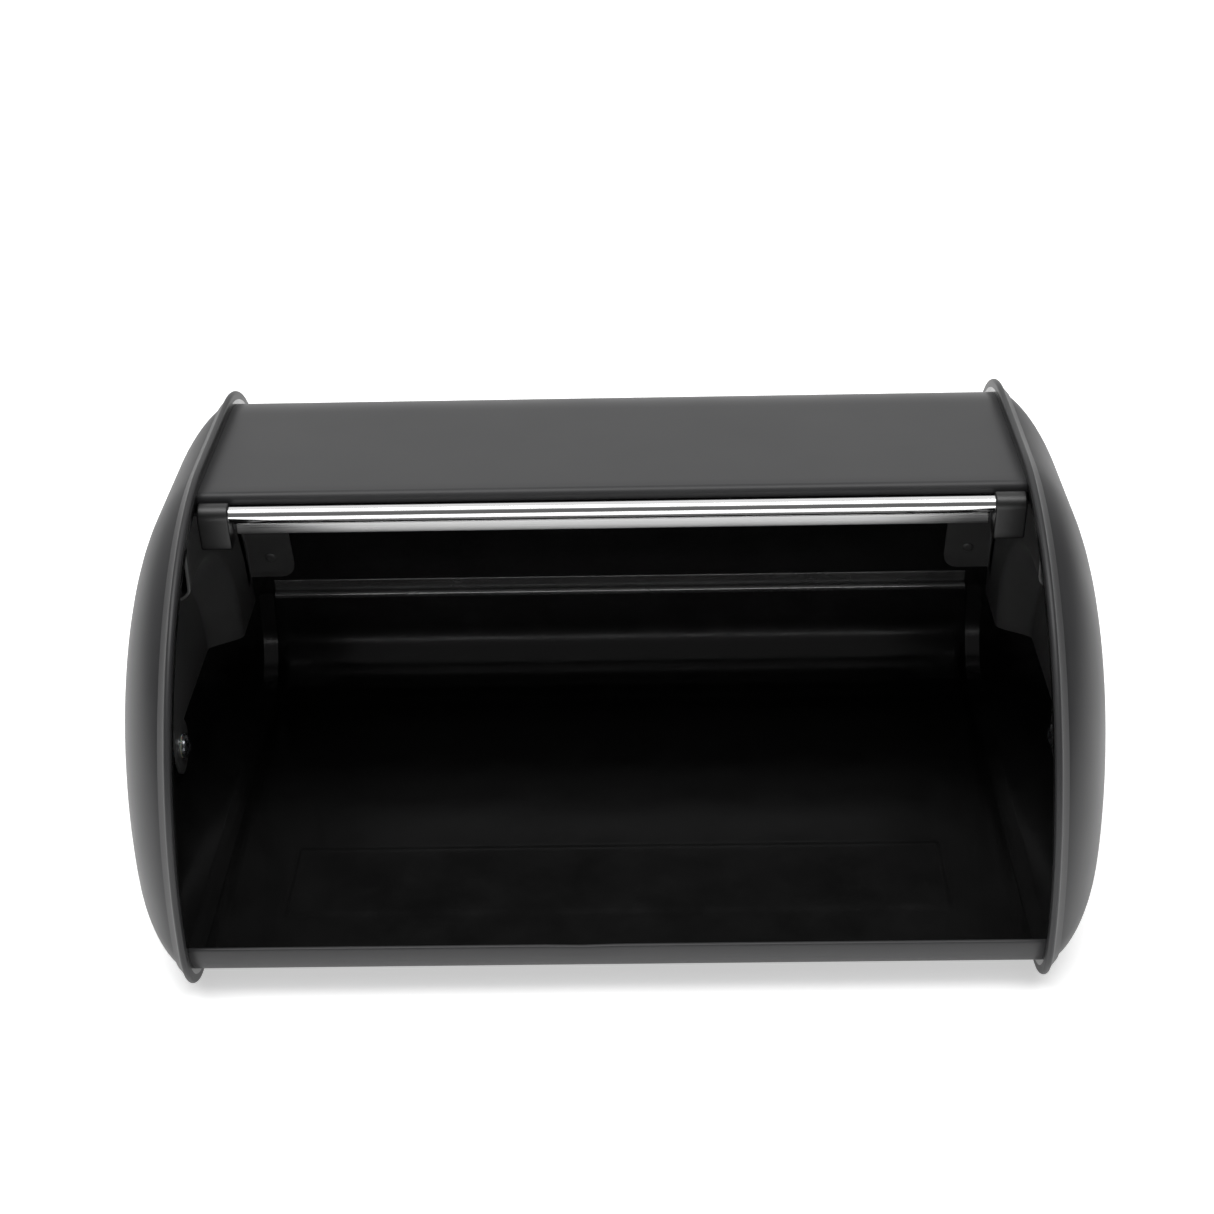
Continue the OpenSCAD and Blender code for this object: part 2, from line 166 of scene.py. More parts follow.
def paintedLightArmLacquer():
    # That lacquer on the lid's arms, its colour painted lighter grey as painted light falling on them; it
    # hides the sheet's waves.
    material, tree, spot = startMaterial("blackLacquerPaintedLight")
    smear = addNode(tree, "ShaderNodeTexNoise", {}, {
        "Vector": spot, "Scale": perSize(30), "Detail": 3, "Roughness": 0.6})
    grain = addNode(tree, "ShaderNodeTexNoise", {}, {"Vector": spot, "Scale": perSize(0.8)})
    tone = addNode(tree, "ShaderNodeMapRange", {}, {
        "Value": smear.outputs[0], "From Min": 0.3, "From Max": 0.7})
    # the greys are painted light, lighter than the black lacquer itself
    colour = addNode(tree, "ShaderNodeMix", {"data_type": "RGBA"}, {
        "Factor": tone.outputs[0], 6: toLinear("#454545"), 7: toLinear("#515151")})
    rough = addNode(tree, "ShaderNodeMapRange", {}, {
        "Value": smear.outputs[0], "From Min": 0.3, "From Max": 0.7, "To Min": 0.30, "To Max": 0.38})
    grained = addNode(tree, "ShaderNodeBump", {}, {"Height": grain.outputs[0], "Distance": 0.005 * mm})
    endMaterial(tree, {
        "Base Color": colour.outputs[2], "Roughness": rough.outputs[0], "Normal": grained.outputs[0],
        "IOR": 1.5})
    return material


def hemHighlightLacquer():
    # Black lacquer on the rolled edge, its colour painted lighter grey as a painted highlight. Its IOR is
    # set above a lacquer's 1.5, so that the thin highlight shows.
    material, tree, spot = startMaterial("hemLacquerPaintedHighlight")
    drawn = addNode(tree, "ShaderNodeMapping", {}, {"Vector": spot, "Scale": (0.25, 1, 1)})
    highlightStreak = addNode(tree, "ShaderNodeTexNoise", {}, {
        "Vector": drawn.outputs[0], "Scale": perSize(14), "Detail": 3, "Roughness": 0.6})
    tone = addNode(tree, "ShaderNodeMapRange", {}, {
        "Value": highlightStreak.outputs[0], "From Min": 0.3, "From Max": 0.7})
    # the greys are a painted highlight, lighter than the black lacquer itself
    colour = addNode(tree, "ShaderNodeMix", {"data_type": "RGBA"}, {
        "Factor": tone.outputs[0], 6: toLinear("#3a3a3a"), 7: toLinear("#4c4c4c")})
    rough = addNode(tree, "ShaderNodeMapRange", {}, {
        "Value": highlightStreak.outputs[0], "From Min": 0.3, "From Max": 0.7, "To Min": 0.16, "To Max": 0.26})
    hemHighlight = addNode(tree, "ShaderNodeBump", {}, {"Height": highlightStreak.outputs[0], "Distance": 0.02 * mm})
    endMaterial(tree, {
        "Base Color": colour.outputs[2], "Roughness": rough.outputs[0], "Normal": hemHighlight.outputs[0],
        "IOR": 2.3})
    return material


def polishedChrome():
    # Bright chrome plate on a drawn tube: very smooth, with faint lines along the tube.
    material, tree, spot = startMaterial("polishedChrome")
    along = addNode(tree, "ShaderNodeMapping", {}, {"Vector": spot, "Scale": (0.01, 1, 1)})
    draw = addNode(tree, "ShaderNodeTexNoise", {}, {"Vector": along.outputs[0], "Scale": perSize(0.6)})
    colour = addNode(tree, "ShaderNodeMix", {"data_type": "RGBA"}, {
        "Factor": draw.outputs[0], 6: toLinear("#d6d6d6"), 7: toLinear("#e6e6e6")})
    rough = addNode(tree, "ShaderNodeMapRange", {}, {
        "Value": draw.outputs[0], "From Min": 0.3, "From Max": 0.7, "To Min": 0.05, "To Max": 0.11})
    lined = addNode(tree, "ShaderNodeBump", {}, {"Height": draw.outputs[0], "Distance": 0.0004 * mm})
    endMaterial(tree, {
        "Base Color": colour.outputs[2], "Roughness": rough.outputs[0], "Normal": lined.outputs[0],
        "Metallic": 1.0})
    return material


def rolledStainless():
    # Bright rolled stainless strip: a soft shine, drawn out along its length.
    material, tree, spot = startMaterial("rolledStainlessSteel")
    along = addNode(tree, "ShaderNodeMapping", {}, {"Vector": spot, "Scale": (0.006, 1, 1)})
    streak = addNode(tree, "ShaderNodeTexNoise", {}, {
        "Vector": along.outputs[0], "Scale": perSize(0.35), "Detail": 3, "Roughness": 0.6})
    colour = addNode(tree, "ShaderNodeMix", {"data_type": "RGBA"}, {
        "Factor": streak.outputs[0], 6: toLinear("#9c9c9c"), 7: toLinear("#b2b2b2")})
    rough = addNode(tree, "ShaderNodeMapRange", {}, {
        "Value": streak.outputs[0], "From Min": 0.3, "From Max": 0.7, "To Min": 0.26, "To Max": 0.36})
    streaked = addNode(tree, "ShaderNodeBump", {}, {"Height": streak.outputs[0], "Distance": 0.004 * mm})
    endMaterial(tree, {
        "Base Color": colour.outputs[2], "Roughness": rough.outputs[0], "Normal": streaked.outputs[0],
        "Metallic": 1.0})
    return material


def blackPlastic():
    # Moulded ABS: a fine spark-eroded texture with a dull shine.
    material, tree, spot = startMaterial("mouldedBlackAbs")
    grain = addNode(tree, "ShaderNodeTexNoise", {}, {"Vector": spot, "Scale": perSize(0.35), "Detail": 3})
    cloud = addNode(tree, "ShaderNodeTexNoise", {}, {"Vector": spot, "Scale": perSize(9)})
    colour = addNode(tree, "ShaderNodeMix", {"data_type": "RGBA"}, {
        "Factor": cloud.outputs[0], 6: toLinear("#080808"), 7: toLinear("#0d0d0d")})
    rough = addNode(tree, "ShaderNodeMapRange", {}, {
        "Value": grain.outputs[0], "From Min": 0.3, "From Max": 0.7, "To Min": 0.36, "To Max": 0.48})
    grained = addNode(tree, "ShaderNodeBump", {}, {"Height": grain.outputs[0], "Distance": 0.01 * mm})
    endMaterial(tree, {
        "Base Color": colour.outputs[2], "Roughness": rough.outputs[0], "Normal": grained.outputs[0],
        "IOR": 1.53})
    return material


def zincPlate():
    # Bright zinc plate: a pale metal with faint cloudy spangle.
    material, tree, spot = startMaterial("brightZincPlate")
    cloud = addNode(tree, "ShaderNodeTexNoise", {}, {
        "Vector": spot, "Scale": perSize(2.2), "Detail": 4, "Roughness": 0.65})
    tone = addNode(tree, "ShaderNodeMapRange", {}, {
        "Value": cloud.outputs[0], "From Min": 0.3, "From Max": 0.7})
    colour = addNode(tree, "ShaderNodeMix", {"data_type": "RGBA"}, {
        "Factor": tone.outputs[0], 6: toLinear("#b9bcc0"), 7: toLinear("#dadcde")})
    rough = addNode(tree, "ShaderNodeMapRange", {}, {
        "Value": cloud.outputs[0], "From Min": 0.3, "From Max": 0.7, "To Min": 0.20, "To Max": 0.34})
    spangled = addNode(tree, "ShaderNodeBump", {}, {"Height": cloud.outputs[0], "Distance": 0.006 * mm})
    endMaterial(tree, {
        "Base Color": colour.outputs[2], "Roughness": rough.outputs[0], "Normal": spangled.outputs[0],
        "Metallic": 1.0})
    return material


def naturalNylon():
    # Undyed nylon: milky, and it lets a little light in.
    material, tree, spot = startMaterial("naturalNylon")
    cloud = addNode(tree, "ShaderNodeTexNoise", {}, {"Vector": spot, "Scale": perSize(4), "Detail": 3})
    colour = addNode(tree, "ShaderNodeMix", {"data_type": "RGBA"}, {
        "Factor": cloud.outputs[0], 6: toLinear("#d9d3c3"), 7: toLinear("#e8e4d8")})
    rough = addNode(tree, "ShaderNodeMapRange", {}, {
        "Value": cloud.outputs[0], "From Min": 0.3, "From Max": 0.7, "To Min": 0.42, "To Max": 0.55})
    clouded = addNode(tree, "ShaderNodeBump", {}, {"Height": cloud.outputs[0], "Distance": 0.01 * mm})
    endMaterial(tree, {
        "Base Color": colour.outputs[2], "Roughness": rough.outputs[0], "Normal": clouded.outputs[0],
        "IOR": 1.53, "Subsurface Weight": 0.25, "Subsurface Scale": 0.002})
    return material


satin = satinEnamel()
gloss = glossLacquer()
paintedLightLacquer = paintedLightArmLacquer()
hemHighlight = hemHighlightLacquer()
chrome = polishedChrome()
stainless = rolledStainless()
plastic = blackPlastic()
zinc = zincPlate()
nylon = naturalNylon()
print("materials made")


def arc(centre, radius, startDeg, endDeg, steps):
    # points on an arc in (y, z), both ends included
    angles = [math.radians(startDeg + (endDeg - startDeg) * i / steps) for i in range(steps + 1)]
    return [(centre[0] + radius * math.cos(a), centre[1] + radius * math.sin(a)) for a in angles]


def line(start, end, steps):
    return [tuple(a + (b - a) * i / steps for a, b in zip(start, end)) for i in range(1, steps)]


def ease(x, low, high):
    t = min(max((x - low) / (high - low), 0), 1)
    return t * t * (3 - 2 * t)


def newPiece(name, points, faces, faceSlots, materials):
    mesh = bpy.data.meshes.new(name)
    mesh.from_pydata([Vector(p) * mm for p in points], [], faces)
    for material in materials:
        mesh.materials.append(material)
    mesh.polygons.foreach_set("material_index", faceSlots)
    piece = bpy.data.objects.new(name, mesh)
    bpy.context.scene.collection.objects.link(piece)
    return piece


def cleaned(piece):
    # joins doubled points and makes the faces of each part look the same way
    work = bmesh.new()
    work.from_mesh(piece.data)
    bmesh.ops.remove_doubles(work, verts=work.verts, dist=0.005 * mm)
    bmesh.ops.dissolve_degenerate(work, edges=work.edges, dist=0.002 * mm)
    bmesh.ops.recalc_face_normals(work, faces=work.faces)
    work.to_mesh(piece.data)
    work.free()
    return piece


def ringPiece(name, rings, ringSlots, materials, wrapRound=True, poles=None):
    # a skin over rings of points; ringSlots gives the material between each ring and the next
    count = len(rings[0])
    points = [p for ring in rings for p in ring]
    faces, slots = [], []
    for k in range(len(rings) - 1):
        for i in range(count if wrapRound else count - 1):
            a, b, j = k * count, (k + 1) * count, (i + 1) % count
            faces.append((a + i, b + i, b + j, a + j))
            slots.append(ringSlots[k])
    if poles:
        for pole, start, slot in ((poles[0], 0, ringSlots[0]),
                                  (poles[1], (len(rings) - 1) * count, ringSlots[-1])):
            points.append(pole)
            for i in range(count):
                faces.append((len(points) - 1, start + (i + 1) % count, start + i))
                slots.append(slot)
    return cleaned(newPiece(name, points, faces, slots, materials))


def thicken(piece, thickness, innerSlot=0, rimSlot=0):
    solid = piece.modifiers.new("wall", "SOLIDIFY")
    solid.thickness = thickness * mm
    solid.offset = 0
    solid.use_even_offset = True
    solid.material_offset = innerSlot
    solid.material_offset_rim = rimSlot


def soften(piece, width, segments=3, limitDeg=40):
    bevel = piece.modifiers.new("edges", "BEVEL")
    bevel.width = width * mm
    bevel.segments = segments
    bevel.limit_method = "ANGLE"
    bevel.angle_limit = math.radians(limitDeg)
    bevel.harden_normals = False


def plainMesh(piece, sharpDeg=35):
    # turns the object and its modifiers into one plain mesh with smooth shading
    bpy.context.view_layer.update()
    shaped = piece.evaluated_get(bpy.context.evaluated_depsgraph_get())
    made = bpy.data.meshes.new_from_object(shaped)
    piece.modifiers.clear()
    piece.data = made
    made.name = piece.name
    made.polygons.foreach_set("use_smooth", [True] * len(made.polygons))
    made.set_sharp_from_angle(angle=math.radians(sharpDeg))
    return piece


def fitPiece(piece, body, slot, *replaced):
    plainMesh(piece)
    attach(piece, body)
    if replaced:
        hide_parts(*replaced)
    print("piece", piece.name, "with", len(piece.data.polygons), "faces")
    return piece


def prism(name, section, ends, materials, toPoint):
    # a (u, v) outline drawn out along X between two places; toPoint turns (x, u, v) into a point
    count = len(section)
    rings = [[toPoint(x, u, v) for u, v in section] for x in ends]
    points = [p for ring in rings for p in ring]
    faces = [tuple(range(count)), tuple(range(2 * count - 1, count - 1, -1))]
    for i in range(count):
        j = (i + 1) % count
        faces.append((i, count + i, count + j, j))
    return cleaned(newPiece(name, points, faces, [0] * len(faces), materials))


capLow, capHigh = boxOf("right_end_cap")
outlineSizes = {
    "frontArcR": 139.0,
    "topRearR": 67.0,
    "lowRearR": 36.0,
    "lowFrontR": 30.0,
    "rimProud": 6.0,
    "sheet": 0.8,
}
frontArcR = outlineSizes["frontArcR"]
arcY = capLow.y + frontArcR
arcZ = capHigh.z - frontArcR
lowFrontR = outlineSizes["lowFrontR"]
lowFrontDrop = arcZ - lowFrontR
lowFrontY = arcY - math.sqrt((frontArcR - lowFrontR) ** 2 - lowFrontDrop ** 2)
lowFrontDeg = 180 + math.degrees(math.asin(lowFrontDrop / (frontArcR - lowFrontR)))
lowRear = (capHigh.y - outlineSizes["lowRearR"], outlineSizes["lowRearR"])
topRear = (capHigh.y - outlineSizes["topRearR"], capHigh.z - outlineSizes["topRearR"])
wrapSide = boxOf("body_wrap")[1].x
sheet = outlineSizes["sheet"]


def sideOutline(inset):
    # the rims' outline in (y, z), moved in all round: floor, back, top and front
    return (arc(lowRear, outlineSizes["lowRearR"] - inset, 270, 360, 20)
            + line((capHigh.y - inset, lowRear[1]), (capHigh.y - inset, topRear[1]), 12)
            + arc(topRear, outlineSizes["topRearR"] - inset, 0, 90, 34)
            + line((topRear[0], capHigh.z - inset), (arcY, capHigh.z - inset), 10)
            + arc((arcY, arcZ), frontArcR - inset, 90, lowFrontDeg, 76)
            + arc((lowFrontY, lowFrontR), lowFrontR - inset, lowFrontDeg, 270, 22)[1:]
            + line((lowFrontY, inset), (lowRear[0], inset), 26))


wrap = {
    "panelEdge": 19.0,      # from the front arc's centre forward to the top panel's front edge
    "flange": 5.0,          # depth of the flange under that edge
    "bend": 2.6,            # bend radius of the sheet's middle
    "lipTop": 25.5,
    "hem": 2.2,             # thickness of the folded lip
    "hemDeg": 20.0,         # how far round the fold reaches back inside
    "pressX": 144.0,        # half width of the pressed floor panel
    "pressFront": -79.0,    # its front and rear edges, from the middle of the box
    "pressRear": -26.0,
    "pressDepth": 0.7,
    "pressEdge": 3.2,       # width of its sloping border
    "dentX": -14.0,         # a small dent in the lip
    "dentDepth": 0.7,
    "dentWidth": 9.0,
    "dentStart": 15.0,      # heights between which it grows
    "dentEnd": 24.0,
    "dentBack": 0.6,        # its share that goes backwards
    "lipZone": 40.0,        # the front sheet below this height is the lip
    "floorHalf": 110.0,     # half depth of the floor's flat part
    "tuck": 0.25,           # how far the sides reach into the rims
    "columnStep": 7.0,
}


def wrapPath():
    inset = outlineSizes["rimProud"] + sheet / 2
    edgeY = arcY - wrap["panelEdge"] + sheet / 2
    topZ = capHigh.z - inset
    bend = wrap["bend"]
    lipR = lowFrontR - inset
    outerR = lowFrontR - outlineSizes["rimProud"]
    lipDeg = 180 + math.degrees(math.asin((lowFrontR - wrap["lipTop"]) / outerR))
    foldR = (wrap["hem"] - sheet) / 2
    foldC = tuple(c + (lipR - foldR) * f for c, f in zip(
        (lowFrontY, lowFrontR), (math.cos(math.radians(lipDeg)), math.sin(math.radians(lipDeg)))))
    flangeLow = topZ + sheet / 2 - wrap["flange"]
    path = [(edgeY, flangeLow), (edgeY, (flangeLow + topZ - bend) / 2)]
    path += arc((edgeY + bend, topZ - bend), bend, 180, 90, 8)
    path += line((edgeY + bend, topZ), (topRear[0], topZ), 16)
    path += arc(topRear, outlineSizes["topRearR"] - inset, 90, 0, 34)
    path += line((capHigh.y - inset, topRear[1]), (capHigh.y - inset, lowRear[1]), 12)
    path += arc(lowRear, outlineSizes["lowRearR"] - inset, 0, -90, 20)
    path += line((lowRear[0], inset), (lowFrontY, inset), 120)
    path += arc((lowFrontY, lowFrontR), lipR, 270, lipDeg, 26)
    path += arc(foldC, foldR, lipDeg, lipDeg - 180, 10)[1:]
    path += arc((lowFrontY, lowFrontR), lipR - 2 * foldR, lipDeg, lipDeg + wrap["hemDeg"], 8)[1:]
    return path


def pressed(x, y):
    # 0 outside the pressed floor panel, 1 inside it
    edge = wrap["pressEdge"]
    reach = min(wrap["pressX"] - abs(x), y - wrap["pressFront"], wrap["pressRear"] - y)
    return ease(reach, 0, edge)


def makeWrap():
    reach = wrapSide + wrap["tuck"]
    count = round(2 * reach / wrap["columnStep"])
    columns = {round(-reach + 2 * reach * i / count, 3) for i in range(count + 1)}
    for side in (-1, 1):
        for k in range(-1, 7):    # closer columns over the pressed panel's borders
            columns.add(round(side * (wrap["pressX"] - wrap["pressEdge"] * k / 5), 3))
    columns = sorted(columns)
    rows = []
    for y, z in wrapPath():
        row = []
        for x in columns:
            floor = z < capLow.z + outlineSizes["rimProud"] + sheet and abs(y) < wrap["floorHalf"]
            drop = wrap["pressDepth"] * pressed(x, y) if floor else 0
            dent = math.exp(-((x - wrap["dentX"]) / wrap["dentWidth"]) ** 2)
            dent *= wrap["dentDepth"] * ease(z, wrap["dentStart"], wrap["dentEnd"])
            if y >= lowFrontY or z >= wrap["lipZone"]:
                dent = 0
            row.append((x, y + dent * wrap["dentBack"], z + drop - dent))
        rows.append(row)
    piece = ringPiece("bodyWrapSheet", rows, [0] * len(rows), [satin, gloss], wrapRound=False)
    thicken(piece, sheet, 1)
    soften(piece, 0.25, 2, 60)
    return fitPiece(piece, "body", "black_enamel", "body_wrap")


makeWrap()


cap = {
    "full": 3.5,            # fullness of the dome towards its edge
    "round": 1.37,          # roundness towards its crown
    "crownForward": 15.0,   # crown's place, from the front arc's centre and above the table
    "crownZ": 84.0,
    "springs": 1.5,         # the dome springs from this far past the rim
    "rimWide": 2.8,
    "padR": 13.0,           # flat pad inside, round the pivot
    "rimSteps": 12,
    "backBand": (1.6, 2.4),    # behind the rim: past the wrap's line, and in from the rim's round
    "slopeIn": 0.5,         # the sloping band ends this far before the dome
    "slopeHigh": 3.3,
    "slopeCurve": 1.15,
    "crease": ((-0.15, 3.1), (0.1, 2.75), (0.35, 2.75)),
}
capCrown = (arcY - cap["crownForward"], cap["crownZ"])
rimOut = wrapSide + cap["rimWide"]
padX = boxOf("right_pivot_stud")[1].x


def domeX(share, height):
    lift = max(1 - share ** cap["full"], 0) ** (1 / cap["round"])
    return rimOut + cap["springs"] + height * lift


def domeShares():
    # shares of the full outline, close together near the edge where the dome turns fast
    lifts = [0.10, 0.13, 0.165, 0.205, 0.25, 0.30, 0.35, 0.41, 0.47, 0.53, 0.60, 0.67, 0.74]
    near = [(1 - lift ** cap["round"]) ** (1 / cap["full"]) for lift in lifts]
    return near + [near[-1] * (1 - i / 14) for i in range(1, 14)]


def capRing(inset, share, offset, side, flat=None):
    ring = []
    for y, z in sideOutline(inset):
        y = capCrown[0] + (y - capCrown[0]) * share
        z = capCrown[1] + (z - capCrown[1]) * share
        x = offset
        if flat:
            away = math.hypot(y - axisY, z - axisZ)
            x += (min(x, flat) - x) * (1 - ease(away, cap["padR"] - 3, cap["padR"] + 3))
        ring.append((side * x, y, z))
    return ring


def makeCap(side, word):
    proud = outlineSizes["rimProud"]
    outerH = capHigh.x - rimOut - cap["springs"]
    innerH = outerH - sheet
    shares = domeShares()
    rings = [capRing(proud + sheet, s, domeX(s, innerH), side, padX) for s in reversed(shares)]
    innerCount = len(rings)
    r = cap["rimWide"] / 2
    section = [(proud + cap["backBand"][0], -2 * r), (r + cap["backBand"][1], -2 * r)]
    steps = cap["rimSteps"]
    for i in range(steps + 1):    # the rolled edge
        a = math.pi * i / steps
        section.append((r - r * math.sin(a), -r - r * math.cos(a)))
    for i in range(1, 6):    # the sloping band that leads to the dome's crease
        section.append((r + (proud - cap["slopeIn"] - r) * i / 5,
                        cap["slopeHigh"] * (i / 5) ** cap["slopeCurve"]))
    section += [(proud + k, x) for k, x in cap["crease"]]
    rings += [capRing(k, 1, rimOut + x, side) for k, x in section]
    rings += [capRing(proud, s, domeX(s, outerH), side) for s in shares]
    slots = [1] * (innerCount + 1) + [0] * (len(rings) - innerCount - 1)
    crown = [(side * x, *capCrown) for x in (capHigh.x - sheet, capHigh.x)]
    piece = ringPiece(word + "EndCapShell", rings, slots, [satin, gloss], poles=crown)
    return fitPiece(piece, "body", "black_enamel", word + "_end_cap")


for side, word in ((-1, "left"), (1, "right")):
    makeCap(side, word)


lid = {
    "radius": 123.5,
    "frontDeg": 97.0,       # both edges, open, measured up from the rear horizontal
    "rearDeg": 6.5,
    "flange": 8.5,          # depth of the front flange
    "bend": 1.5,
}
lidEdge = boxOf("lid_shell")[1].x
bracketLow, bracketHigh = boxOf("right_handle_bracket")


def onLidFront(x, out, closing):
    # the handle's own frame: out from the pivot axis, and the way the lid closes
    a = math.radians(lid["frontDeg"])
    return (x, axisY + out * math.cos(a) - closing * math.sin(a),
            axisZ + out * math.sin(a) + closing * math.cos(a))


def onLid(x, radius, deg):
    a = math.radians(deg)
    return (x, axisY + radius * math.cos(a), axisZ + radius * math.sin(a))


def makeLidShell():
    mid = lid["radius"] - sheet / 2
    bend = lid["bend"]
    edge = lid["radius"] - lid["flange"]
    half = -sheet / 2
    def row(make):
        return [make(-lidEdge + 2 * lidEdge * i / 48) for i in range(49)]
    def flangeRow(out, closing):
        def point(x):
            shown = max(min(x, bracketHigh.x), -bracketHigh.x) if closing > half - 0.2 else x
            return onLidFront(shown, out, closing)
        return row(point)
    rows = [flangeRow(out, half) for out in (edge, edge + 3, mid - bend - 2)]
    for i in range(8):
        a = math.radians(90 * i / 8)
        rows.append(flangeRow(mid - bend + bend * math.sin(a), half - bend + bend * math.cos(a)))
    startDeg = lid["frontDeg"] - math.degrees((bend - half) / mid)
    for i in range(61):
        deg = startDeg + (lid["rearDeg"] - startDeg) * i / 60
        rows.append(row(lambda x, deg=deg: onLid(x, mid, deg)))
    piece = ringPiece("lidCurvedSheet", rows, [0] * len(rows), [satin, gloss], wrapRound=False)
    thicken(piece, sheet, 1)
    soften(piece, 0.25, 2, 60)
    return fitPiece(piece, "lid", "black_enamel", "lid_shell")


makeLidShell()


def newTree(name, sockets):
    tree = bpy.data.node_groups.new(name, "GeometryNodeTree")
    tree.interface.new_socket("Geometry", in_out="OUTPUT", socket_type="NodeSocketGeometry")
    for label, kind in sockets.items():
        tree.interface.new_socket(label, in_out="INPUT", socket_type="NodeSocket" + kind)
    return tree, addNode(tree, "NodeGroupInput", {}, {}).outputs


def endTree(tree, geometry, material):
    real = addNode(tree, "GeometryNodeRealizeInstances", {}, {"Geometry": geometry})
    smooth = addNode(tree, "GeometryNodeSetShadeSmooth", {}, {"Geometry": real.outputs[0]})
    finished = addNode(tree, "GeometryNodeSetMaterial", {}, {
        "Geometry": smooth.outputs[0], "Material": material})
    addNode(tree, "NodeGroupOutput", {}, {"Geometry": finished.outputs[0]})


def grown(name, tree, values):
    # an object whose shape comes from a tree with these values
    mesh = bpy.data.meshes.new(name)
    piece = bpy.data.objects.new(name, mesh)
    bpy.context.scene.collection.objects.link(piece)
    grower = piece.modifiers.new("grower", "NODES")
    grower.node_group = tree
    for item in tree.interface.items_tree:
        if item.in_out == "INPUT" and item.name in values:
            grower[item.identifier] = values[item.name]
    return piece


def rolledHemTree():
    # a bead along X and a lap beside it: the sheet's edge rolled round and laid flat
    tree, given = newTree("rolledHem", {
        "Half Length": "Float", "Bead Radius": "Float", "Lap Depth": "Float",
        "Lap Thickness": "Float", "Lap Shift": "Vector", "Turn": "Float", "Place": "Vector",
        "Material": "Material",
    })
    negative = addNode(tree, "ShaderNodeMath", {"operation": "MULTIPLY"}, {
        0: given["Half Length"], 1: -1})
    start = addNode(tree, "ShaderNodeCombineXYZ", {}, {"X": negative.outputs[0]})
    end = addNode(tree, "ShaderNodeCombineXYZ", {}, {"X": given["Half Length"]})
    spine = addNode(tree, "GeometryNodeCurvePrimitiveLine", {}, {
        "Start": start.outputs[0], "End": end.outputs[0]})
    ring = addNode(tree, "GeometryNodeCurvePrimitiveCircle", {}, {
        "Resolution": 36, "Radius": given["Bead Radius"]})
    bead = addNode(tree, "GeometryNodeCurveToMesh", {}, {
        "Curve": spine.outputs[0], "Profile Curve": ring.outputs[0], "Fill Caps": True})
    flat = addNode(tree, "GeometryNodeCurvePrimitiveQuadrilateral", {}, {
        "Width": given["Lap Thickness"], "Height": given["Lap Depth"]})
    corner = addNode(tree, "ShaderNodeMath", {"operation": "MULTIPLY"}, {
        0: given["Lap Thickness"], 1: 0.42})
    eased = addNode(tree, "GeometryNodeFilletCurve", {"mode": "POLY"}, {
        "Curve": flat.outputs[0], "Radius": corner.outputs[0], "Count": 5})
    lap = addNode(tree, "GeometryNodeCurveToMesh", {}, {
        "Curve": spine.outputs[0], "Profile Curve": eased.outputs[0], "Fill Caps": True})
    moved = addNode(tree, "GeometryNodeTransform", {}, {
        "Geometry": lap.outputs[0], "Translation": given["Lap Shift"]})
    both = addNode(tree, "GeometryNodeJoinGeometry", {}, {
        "Geometry": [moved.outputs[0], bead.outputs[0]]})
    turn = addNode(tree, "ShaderNodeCombineXYZ", {}, {"X": given["Turn"]})
    placed = addNode(tree, "GeometryNodeTransform", {}, {
        "Geometry": both.outputs[0], "Rotation": turn.outputs[0], "Translation": given["Place"]})
    endTree(tree, placed.outputs[0], given["Material"])
    return tree


hem = {
    "halfLength": 170.0,
    "beadWide": 4.4,
    "beadDeg": 7.0,         # where the bead's centre is, measured up from the rear horizontal
    "lapDeep": 6.6,
    "lapThick": 1.0,
    "lapUp": 4.6,           # from the bead's centre to the lap's middle
    "lapOut": 0.1,
    "lapLean": 1.2,         # degrees
    "beadIn": 0.05,         # the bead stays this far inside the lid's curve
}


def makeRolledHem():
    beadR = lid["radius"] - hem["beadWide"] / 2 - hem["beadIn"]
    centre = Vector(onLid(0, beadR, hem["beadDeg"])) * mm
    lapOut = hem["beadWide"] / 2 - sheet - hem["lapThick"] / 2 + hem["lapOut"]
    piece = grown("lidRolledHem", rolledHemTree(), {
        "Half Length": hem["halfLength"] * mm,
        "Bead Radius": hem["beadWide"] / 2 * mm,
        "Lap Depth": hem["lapDeep"] * mm,
        "Lap Thickness": hem["lapThick"] * mm,
        "Lap Shift": (0.0, lapOut * mm, hem["lapUp"] * mm),
        "Turn": math.radians(hem["beadDeg"] + hem["lapLean"]),
        "Place": tuple(centre),
        "Material": hemHighlight,
    })
    return fitPiece(piece, "lid", "black_enamel")


makeRolledHem()


arms = {
    "thick": 1.2,
    "front": 12.5,          # from the pivot to the arm's front edge
    "frontTop": 15.0,
    "rear": 9.5,            # and to its rear edge
    "stepOut": 86.0,        # radii between which the plate steps out to the lid
    "stepIn": 76.0,
    "hole": 5.3,
    "stripWide": 22.0,      # of the strip that joins the arm to the lid
    "stripDeg": (12.0, 92.0),
    "stripCorner": 7.0,
    "stripGap": 0.05,
    "stripRoot": 9.0,       # how far the strip's foot runs down the plate
    "bend": 1.6,
}
armThick = arms["thick"]
plateX = boxOf("right_lid_arm")[1].x - armThick / 2
lidPlateX = lidEdge + armThick / 2


def armX(radius):
    # the plate's middle: flat round the pivot, then a smooth step in towards the lid's side
    return plateX + (lidPlateX - plateX) * ease(radius, arms["stepIn"] - 2, arms["stepOut"] + 2)


def armPoint(side, radius, deg):
    a = math.radians(deg)
    return (side * armX(radius), axisY + radius * math.cos(a), axisZ + radius * math.sin(a))


